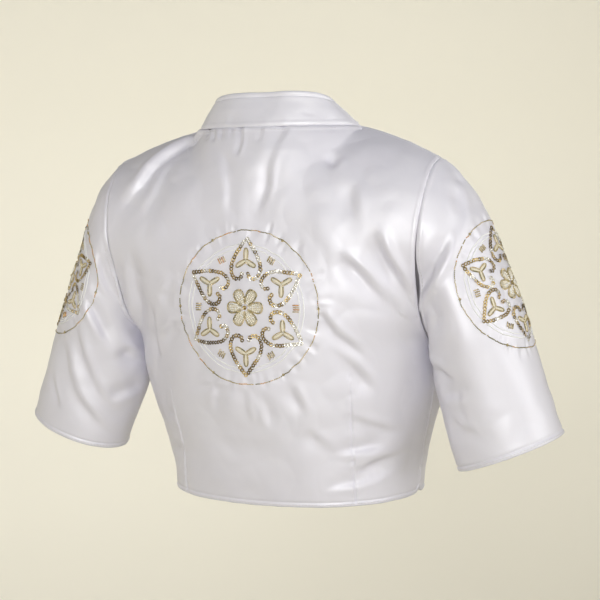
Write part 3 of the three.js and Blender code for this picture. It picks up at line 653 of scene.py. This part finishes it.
def sequin(bm):
    """A thin cupped disc with a hole."""
    section = [(0.19, 0.0), (0.36, 0.02), (0.5, 0.10), (0.5, 0.14), (0.36, 0.07), (0.19, 0.05)]
    line = [bm.verts.new((radius, 0, height)) for radius, height in section]
    edges = [bm.edges.new((line[k - 1], line[k])) for k in range(len(line))]
    bmesh.ops.spin(bm, geom=line + edges, axis=(0, 0, 1), angle=math.tau, steps=10, use_merge=True)
    bmesh.ops.remove_doubles(bm, verts=bm.verts, dist=0.001)
    bmesh.ops.recalc_face_normals(bm, faces=bm.faces)


BALL, TUBE, PAD, SEQUIN = (shape_of(build) for build in (ball, tube, pad, sequin))


class Trim:
    """Small shapes gathered into one piece."""

    def __init__(self):
        self.points, self.faces, self.looks, self.count = [], [], [], 0

    def add(self, shape, place, along, normal, size, look=0, lift=0.0, roll=0.0, tilt=0.0):
        """Sets a shape down at a place, its length along one direction, size being (length, width, height)
        in millimetres, lifted by part of its height and tilted up at its far end."""
        points, faces = shape
        up = normal.normalized()
        front = (along - up * along.dot(up)).normalized()
        if tilt:
            turn = Matrix.Rotation(tilt, 3, up.cross(front))
            front, up = turn @ front, turn @ up
        if roll:
            up = Matrix.Rotation(roll, 3, front) @ up
        axes = np.array([front[:], up.cross(front)[:], up[:]]) * np.array(size)[:, None] / 1000
        origin = np.array(place[:]) + np.array(up[:]) * lift / 1000
        self.points.append(points @ axes + origin)
        self.faces.extend([[k + self.count for k in face] for face in faces])
        self.looks.extend([look] * len(faces))
        self.count += len(points)

    def piece(self, name, slot, *materials):
        mesh = bpy.data.meshes.new(name)
        mesh.from_pydata(np.concatenate(self.points).tolist(), [], self.faces)
        mesh.polygons.foreach_set("material_index", self.looks)
        mesh.polygons.foreach_set("use_smooth", [True] * len(self.faces))
        for material in materials:
            mesh.materials.append(material)
        made = bpy.data.objects.new(name, mesh)
        bpy.context.collection.objects.link(made)
        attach(made, "root")


def plain(name, colour, roughness, metallic=0.0, coat=0.0):
    material = bpy.data.materials.new(name)
    material.use_nodes = True
    surface = material.node_tree.nodes["Principled BSDF"]
    surface.inputs["Base Color"].default_value = (*colour, 1)
    surface.inputs["Roughness"].default_value = roughness
    surface.inputs["Metallic"].default_value = metallic
    surface.inputs["Coat Weight"].default_value = coat
    surface.inputs["Coat Roughness"].default_value = 0.12
    return material


# Hems: the lower edge, the cuffs and the lap of the right front end in a narrow double fold. It is sewn
# down at its inner edge with small stitches of white thread, darkened a little as painted shade along the
# row.
thread_with_painted_shade = plain("white thread with painted shade", (0.68, 0.66, 0.69), 0.5)
STITCH, STITCH_GAP = 2.5, 0.9


def topstitch(node, wanted):
    """A row of stitches along the free edges of a sheet, where wanted(point in mm) is true."""
    mesh = sheets[node][0]
    surface = surface_of(mesh)
    places = corners_of(mesh)
    bm = bmesh.new()
    bm.from_mesh(mesh)
    bm.verts.ensure_lookup_table()
    normals = [v.vector.copy() for v in mesh.vertex_normals]
    trim = Trim()
    neighbours = [tree for other, tree in edge_trees[0].items() if other != node]
    for loop in loops_of(bm, bm.faces):
        chain = chain_of(loop)
        path = [Vector(places[k]) for k in chain]
        sewn = [min(tree.find(p)[2] for tree in neighbours) < SEWN for p in path]
        travelled, next_stitch = 0.0, 0.0
        for k in range(len(path) - 1):
            start, end = path[k], path[k + 1]
            length = (end - start).length * 1000
            while next_stitch < travelled + length:
                share = (next_stitch - travelled) / length
                next_stitch += STITCH + STITCH_GAP
                if sewn[k] or sewn[k + 1]:
                    continue
                point = start.lerp(end, share)
                if not wanted(point * 1000):
                    continue
                normal = normals[chain[k]]
                along = (end - start).normalized()
                inward = normal.cross(along)
                # The side on which there is cloth
                ahead, behind = point + inward * 0.003, point - inward * 0.003
                gap_ahead = (surface.find_nearest(ahead)[0] - ahead).length
                gap_behind = (surface.find_nearest(behind)[0] - behind).length
                if gap_ahead > gap_behind:
                    inward.negate()
                place = surface.find_nearest(point + inward * HEM_STRIP / 1000 + normal * 0.0004)[0]
                tilt = random.uniform(-0.03, 0.03)
                trim.add(TUBE, place, along, normal, (STITCH, 0.5, 0.42), lift=0.1, tilt=tilt)
            travelled += length
    trim.piece(node + "_topstitching", "thread", thread_with_painted_shade)


def chain_of(loop):
    """Indices of the points along a closed loop of edges, in order."""
    edge = loop[0]
    first, vert = edge.verts
    chain = [first.index, vert.index]
    members = set(loop)
    while vert is not first:
        edge = next(e for e in vert.link_edges if e in members and e is not edge)
        vert = edge.other_vert(vert)
        chain.append(vert.index)
    return chain


random.seed(4)
topstitch("back", lambda p: True)
topstitch("front_left", lambda p: p.z < -330)
topstitch("front_right", lambda p: True)
topstitch("sleeve_left", lambda p: True)
topstitch("sleeve_right", lambda p: True)

# Medallions: one round design on the back and one on the outside of each sleeve, sewn by hand. From the rim
# inwards it has a ring of cut beads with six knots, a double white cord, six leaf outlines in sequins with
# a three-lobed sprig in each, six squares of bugle beads between them and a flower of six beaded petals.
# The sequins are all gold: the pale material is gold with a painted glint, the dark one gold with painted
# shade.
gold = plain("gold sequin", (0.62, 0.47, 0.22), 0.28, 0.85, 0.2)
pale = plain("sequin with painted glint", (0.88, 0.85, 0.76), 0.16, 0.6, 0.6)
dark = plain("sequin with painted shade", (0.27, 0.20, 0.09), 0.3, 0.8, 0.2)
bead_gold = plain("gold bead", (0.44, 0.36, 0.17), 0.3, 0.5, 0.5)
bead_dark = plain("olive bead", (0.26, 0.23, 0.12), 0.35, 0.4, 0.4)
bead_light = plain("light gold bead", (0.76, 0.64, 0.42), 0.25, 0.5, 0.5)
bead_orange = plain("amber bead", (0.72, 0.40, 0.16), 0.25, 0.3, 0.6)
pearl = plain("cream bead", (0.86, 0.81, 0.70), 0.3, 0.0, 0.5)
clear = plain("white bead", (0.9, 0.9, 0.9), 0.2, 0.0, 0.7)
cord_white = plain("white cord", (0.88, 0.88, 0.87), 0.5)
cream_felt = plain("cream felt", (0.56, 0.51, 0.40), 0.7)
cream_satin = plain("cream satin", (0.78, 0.72, 0.57), 0.38)

# Which material of its piece a shape has. Gold is the first for sequins and beads alike.
# For sequins, the second and third looks are a painted glint and painted shade on the gold.
GOLD, PAINTED_GLINT, PAINTED_SHADE = 0, 1, 2
DARK, LIGHT, AMBER = 1, 2, 3
FELT = 1

# Right half of a leaf, a petal and a lobe of a sprig, all pointing up, in shares of the medallion's radius.
# The rows of beads that fill a petal have their place across it, their start and their end.
LEAF = [
    (0.01, 0.875), (0.065, 0.8), (0.125, 0.715), (0.178, 0.625), (0.212, 0.53),
    (0.21, 0.445), (0.172, 0.38), (0.115, 0.36), (0.062, 0.385), (0.045, 0.435),
]
PETAL = [
    (0.026, 0.045), (0.042, 0.085), (0.06, 0.125), (0.07, 0.175), (0.064, 0.222), (0.028, 0.248),
    (-0.028, 0.248), (-0.064, 0.222), (-0.07, 0.175), (-0.06, 0.125), (-0.042, 0.085), (-0.026, 0.045),
]
LOBE = [
    (0.022, 0.012), (0.027, 0.05), (0.029, 0.1), (0.02, 0.145), (0, 0.16),
    (-0.02, 0.145), (-0.029, 0.1), (-0.027, 0.05), (-0.022, 0.012),
]
PETAL_ROWS = ((-0.045, 0.115, 0.22), (-0.015, 0.06, 0.24), (0.015, 0.06, 0.24), (0.045, 0.115, 0.22))


def smooth_line(points, step):
    """Points at even steps along a smooth curve through some points of the plane."""
    points = [Vector((*p, 0)) for p in points]
    ends = [2 * points[0] - points[1]] + points + [2 * points[-1] - points[-2]]
    dense = []
    for k in range(1, len(ends) - 2):
        before, here, there, after = ends[k - 1 : k + 3]
        for share in np.linspace(0, 1, 12, endpoint=False):
            straight = 2 * here + (there - before) * share
            bend = (2 * before - 5 * here + 4 * there - after) * share**2
            twist = (3 * here - before - 3 * there + after) * share**3
            dense.append(0.5 * (straight + bend + twist))
    dense.append(ends[-2])
    line, carried = [dense[0]], 0.0
    for start, end in zip(dense, dense[1:]):
        length = (end - start).length
        while carried + length >= step:
            start = start.lerp(end, (step - carried) / length)
            length = (end - start).length
            carried = 0.0
            line.append(start)
        carried += length
    return line


class Disc:
    """A round patch of the cloth, found by walking out over it from its centre. Upwards is its 90 degrees."""

    RAYS, STEP = 96, 0.002

    def __init__(self, node, centre, upwards, radius):
        self.tree, self.radius = surface_of(sheets[node][0]), radius / 1000
        start, normal, _, _ = self.tree.find_nearest(Vector(centre) / 1000)
        up = (Vector(upwards) - normal * normal.dot(Vector(upwards))).normalized()
        right = up.cross(normal)
        self.rays = []
        for k in range(self.RAYS):
            angle = math.tau * k / self.RAYS
            heading = right * math.cos(angle) + up * math.sin(angle)
            here, facing = start, normal
            ray = [(here, facing)]
            for _ in range(int(1.1 * self.radius / self.STEP) + 1):
                heading = (heading - facing * facing.dot(heading)).normalized()
                here, near, _, _ = self.tree.find_nearest(here + heading * self.STEP)
                facing = (facing * 2 + near).normalized()
                ray.append((here, facing))
            self.rays.append(ray)

    def at(self, x, y):
        """Place and normal on the cloth at a point of the design, whose rim has radius 1."""
        turn = (math.atan2(y, x) / math.tau) % 1 * self.RAYS
        out = math.hypot(x, y) * self.radius / self.STEP
        a, r = int(turn) % self.RAYS, int(out)
        across, along = turn - int(turn), out - r
        rays = self.rays[a], self.rays[(a + 1) % self.RAYS]
        spots = [ray[r][0].lerp(ray[r + 1][0], along) for ray in rays]
        facings = [ray[r][1].lerp(ray[r + 1][1], along) for ray in rays]
        place = spots[0].lerp(spots[1], across)
        normal = facings[0].lerp(facings[1], across).normalized()
        return self.tree.find_nearest(place)[0], normal

    def run(self, line, closed=False):
        """Place, direction and normal at each point of a line of the design."""
        spots = [self.at(p.x, p.y) for p in line]
        count = len(spots)
        for k, (place, normal) in enumerate(spots):
            after = spots[(k + 1) % count if closed else min(k + 1, count - 1)][0]
            before = spots[k - 1 if closed or k else 0][0]
            yield place, after - before, normal


def turned(points, angle):
    """Points of a motif that is drawn pointing up, turned to point at an angle."""
    turn = Matrix.Rotation(math.radians(angle - 90), 3, "Z")
    return [turn @ Vector((*p, 0)) for p in points]


def circle(radius, step):
    count = round(math.tau * radius / step)
    angles = [math.tau * k / count for k in range(count)]
    return [Vector((radius * math.cos(angle), radius * math.sin(angle), 0)) for angle in angles]


def wavering(radius, step, amount, seed):
    """A hand-sewn circle that wavers a little."""
    return [p * (1 + amount * noise.noise(p * 7 + Vector((0, 0, seed)))) for p in circle(radius, step)]


def rim(disc, size, rng, seed, beads):
    """A ring of cut beads in short runs of one colour, strung a little unevenly, with six knots."""
    shade = GOLD
    for place, along, normal in disc.run(wavering(1, 1.8 / size, 0.012, seed), closed=True):
        if rng.random() < 0.45:
            shade = rng.choice((GOLD, GOLD, DARK, DARK, LIGHT, LIGHT, AMBER))
        if rng.random() < 0.96:
            cut = rng.uniform(1.2, 1.75), 1.05, 1.05
            beads.add(TUBE, place, along, normal, cut, shade, lift=0.4, roll=rng.random())
    for k in range(6):
        x, y = math.cos(math.radians(60 * k)), math.sin(math.radians(60 * k))
        place, normal = disc.at(x, y)
        outwards = (disc.at(x * 1.01, y * 1.01)[0] - place).normalized()
        for turn in range(4):
            aside = Matrix.Rotation(turn * math.tau / 4, 3, normal) @ outwards
            beads.add(BALL, place + aside * 0.0008, aside, normal, (1.6, 1.6, 1.6), turn % 3, lift=0.6)


def double_cord(disc, size, seed, cord):
    """Two rings of white cord, a little off centre, which the leaves break."""
    for radius in (0.775, 0.83):
        points = [p + Vector((-0.025, -0.015, 0)) for p in wavering(radius, 1.5 / size, 0.02, seed)]
        for k, (place, along, normal) in enumerate(disc.run(points, closed=True)):
            angle = (360 * k / len(points) - 30) % 60
            if min(angle, 60 - angle) > 1.5 + 60 * (0.88 - radius):
                cord.add(BALL, place, along, normal, (2.2, 1.25, 1.15), lift=0.35, roll=0.3 * (k % 2))


def leaf(disc, size, rng, k, sequins, beads, sprigs):
    """A leaf outlined in sequins that are laid like roof tiles, with a three-lobed sprig in it."""
    angle = 90 - 60 * k
    wide = rng.uniform(-0.05, 0.05)
    aside = rng.uniform(-0.012, 0.012)
    out = rng.uniform(-0.012, 0.012)
    for hand in (1, -1):
        half = [(hand * x * (1 + wide) + aside * (y < 0.7), y + out) for x, y in LEAF]
        line = smooth_line([v[:2] for v in turned(half, angle)], 3.05 / size)
        mood = rng.random() * 9
        for n, (place, along, normal) in enumerate(disc.run(line)):
            if n == 0 and hand < 0:
                continue
            level = noise.noise(Vector((n * 0.34 + mood, k * 1.7, hand))) + rng.uniform(-0.3, 0.3)
            # Runs of sequins get a painted glint where the noise is high and painted shade where it is low.
            look = PAINTED_GLINT if level > 0.2 else PAINTED_SHADE if level < -0.12 else GOLD
            across = rng.uniform(3.9, 4.5) * (0.5 + 0.5 * size / 75)
            tip = -rng.uniform(0.1, 0.42)
            lean = rng.uniform(-0.25, 0.25)
            disc_size = across, across, 3.4
            sequins.add(SEQUIN, place, along, normal, disc_size, look, lift=0.4, roll=lean, tilt=tip)
    middle = turned([(aside, 0.6 + out)], angle)[0]
    for arm in (0, 120, 240):
        lobe = [middle + v for v in turned(LOBE, angle + arm)]
        place, normal = disc.at(*(middle + turned([(0, 0.078)], angle + arm)[0])[:2])
        tip = disc.at(*lobe[4][:2])[0]
        sprigs.add(PAD, place, tip - place, normal, (0.15 * size, 0.036 * size, 1.7), lift=0.35)
        for spot, along, facing in disc.run(smooth_line([v[:2] for v in lobe], 1.25 / size)):
            shade = rng.choice((GOLD, GOLD, DARK, LIGHT, LIGHT))
            beads.add(BALL, spot, along, facing, (1.55, 1.45, 1.4), shade, lift=0.65)


def bars(disc, size, rng, angle, beads):
    """A square of four bugle beads."""
    shade = rng.choice((GOLD, GOLD, AMBER))
    for n in range(4):
        x = (n - 1.5) * 2.05 / size
        low = 0.665 + rng.uniform(-0.008, 0.008)
        foot, head = turned([(x, low), (x, low + 0.078)], angle)
        place, normal = disc.at(*((foot + head) / 2)[:2])
        along = disc.at(*head[:2])[0] - place
        beads.add(TUBE, place, along, normal, (0.08 * size, 1.3, 1.3), (shade, LIGHT)[n % 2], lift=0.6)


def petal(disc, size, rng, angle, beads, pearls, sprigs):
    """A padded petal outlined in gold beads and filled with four rows of cream ones."""
    outline = smooth_line([v[:2] for v in turned(PETAL, angle)], 1.3 / size)
    x, y = turned([(0, 0.15)], angle)[0][:2]
    middle, normal = disc.at(x, y)
    felt = 0.2 * size, 0.125 * size, 1.1
    sprigs.add(PAD, middle, disc.at(x * 1.2, y * 1.2)[0] - middle, normal, felt, FELT, lift=0.1)
    for spot, along, facing in disc.run(outline):
        shade = rng.choice((GOLD, GOLD, DARK, LIGHT, LIGHT))
        beads.add(BALL, spot, along, facing, (1.6, 1.75, 1.6), shade, lift=0.6)
    for row, start, reach in PETAL_ROWS:
        for n in range(int((reach - start) * size / 1.9)):
            y = start + n * 1.9 / size
            x = row * min(1, 0.35 + (y - 0.04) * 5.5)
            spot, facing = disc.at(*turned([(x, y)], angle)[0][:2])
            ahead = disc.at(*turned([(x, y + 0.02)], angle)[0][:2])[0]
            bead = 1.75, 1.75, rng.uniform(1.4, 1.9)
            roll = rng.random()
            pearls.add(BALL, spot, ahead - spot, facing, bead, rng.random() < 0.3, lift=0.6, roll=roll)


def medallion(name, disc, seed):
    rng = random.Random(seed)
    size = disc.radius * 1000
    sequins, beads, pearls, cord, sprigs = (Trim() for _ in range(5))
    rim(disc, size, rng, seed, beads)
    double_cord(disc, size, seed, cord)
    for k in range(6):
        leaf(disc, size, rng, k, sequins, beads, sprigs)
        bars(disc, size, rng, 60 - 60 * k, beads)
        petal(disc, size, rng, 60 * k, beads, pearls, sprigs)
    place, normal = disc.at(0, 0)
    across = Vector((0.8, 0.3, 0.2))
    sequins.add(SEQUIN, place, across, normal, (4.4, 4.4, 4), lift=0.9)
    beads.add(BALL, place, across, normal, (1.9, 1.9, 1.9), lift=1.5)
    sequins.piece(name + "_sequins", "sequins", gold, pale, dark)
    beads.piece(name + "_gold_beads", "sequins", bead_gold, bead_dark, bead_light, bead_orange)
    pearls.piece(name + "_cream_beads", "pearl_beads", pearl, clear)
    cord.piece(name + "_cord", "thread", cord_white)
    sprigs.piece(name + "_sprigs", "satin", cream_satin, cream_felt)


medallion("back_medallion", Disc("back", *BACK_MEDALLION), 11)
medallion("left_sleeve_medallion", Disc("sleeve_left", *LEFT_MEDALLION), 23)
medallion("right_sleeve_medallion", Disc("sleeve_right", *RIGHT_MEDALLION), 37)

# Studio: a pale cream sweep that rises all round, with a soft key behind the blouse, a weaker light from the
# wearer's right and one in front. Four lamps that face away from the blouse light the sweep.
profile = [(0, -1.0), (1.6, -1.0), (2.2, -0.93), (2.7, -0.7), (3.05, -0.3), (3.2, 0.3), (3.2, 2.4)]
bm = bmesh.new()
line = [bm.verts.new((radius, 0, height)) for radius, height in profile]
edges = [bm.edges.new(pair) for pair in zip(line, line[1:])]
bmesh.ops.spin(bm, geom=line + edges, axis=(0, 0, 1), angle=math.tau, steps=72, use_merge=True)
bmesh.ops.remove_doubles(bm, verts=bm.verts, dist=0.0001)
bmesh.ops.recalc_face_normals(bm, faces=bm.faces)
for face in bm.faces:
    face.smooth = True
mesh = bpy.data.meshes.new("sweep")
bm.to_mesh(mesh)
sweep = bpy.data.objects.new("sweep", mesh)
bpy.context.collection.objects.link(sweep)
paper = bpy.data.materials.new("cream paper")
paper.use_nodes = True
paper.node_tree.nodes["Principled BSDF"].inputs["Base Color"].default_value = (0.90, 0.86, 0.74, 1)
paper.node_tree.nodes["Principled BSDF"].inputs["Roughness"].default_value = 0.9
sweep.data.materials.append(paper)

world = bpy.data.worlds.new("studio")
bpy.context.scene.world = world
world.use_nodes = True
world.node_tree.nodes["Background"].inputs["Color"].default_value = (0.88, 0.90, 1.0, 1)
world.node_tree.nodes["Background"].inputs["Strength"].default_value = 0.12


def lamp(name, place, aim, width, height, power, spread):
    light = bpy.data.lights.new(name, "AREA")
    light.shape = "RECTANGLE"
    light.size, light.size_y, light.energy, light.spread = width, height, power, math.radians(spread)
    light.color = 0.96, 0.975, 1.0
    holder = bpy.data.objects.new(name, light)
    holder.location = place
    holder.rotation_euler = (Vector(aim) - Vector(place)).to_track_quat("-Z", "Y").to_euler()
    bpy.context.collection.objects.link(holder)


lamp("key", (-0.6, 2.2, 0.3), (0, 0, -0.17), 0.8, 0.8, 4.9, 75)
lamp("side", (-2.2, 0.4, 0.4), (0, 0, -0.17), 1.2, 1.5, 3.4, 75)
lamp("front", (0.2, -2.2, 0.9), (0, 0, -0.17), 1.6, 1.6, 3, 90)
lamp("backdrop", (0.4, -0.9, 1.7), (1.2, -2.9, -0.6), 2.0, 0.5, 17, 110)
lamp("backdrop behind", (-0.4, 0.9, 1.9), (-1.0, 2.9, -0.2), 2.4, 0.5, 13, 110)
lamp("backdrop right", (-0.9, 0, 1.9), (-2.9, 0, -0.2), 2.4, 0.5, 9, 110)
lamp("backdrop left", (0.9, 0, 1.9), (2.9, 0, -0.2), 2.4, 0.5, 12, 110)

# Camera: behind the blouse and a little to the wearer's right, level with the middle of the cloth.
azimuth, elevation, distance = math.radians(203.5), math.radians(2.59), 1.48475
backwards = Vector(
    (math.sin(azimuth) * math.cos(elevation), -math.cos(azimuth) * math.cos(elevation), math.sin(elevation))
)
camera = bpy.data.objects.new("camera", bpy.data.cameras.new("camera"))
camera.data.sensor_width = 36
camera.data.lens = 36 * 1465.1 / 600
camera.location = Vector((-0.021, 0, -0.1747)) + backwards * distance
camera.rotation_euler = (-backwards).to_track_quat("-Z", "Y").to_euler()
bpy.context.collection.objects.link(camera)
bpy.context.scene.camera = camera
bpy.context.scene.view_settings.view_transform = "Standard"
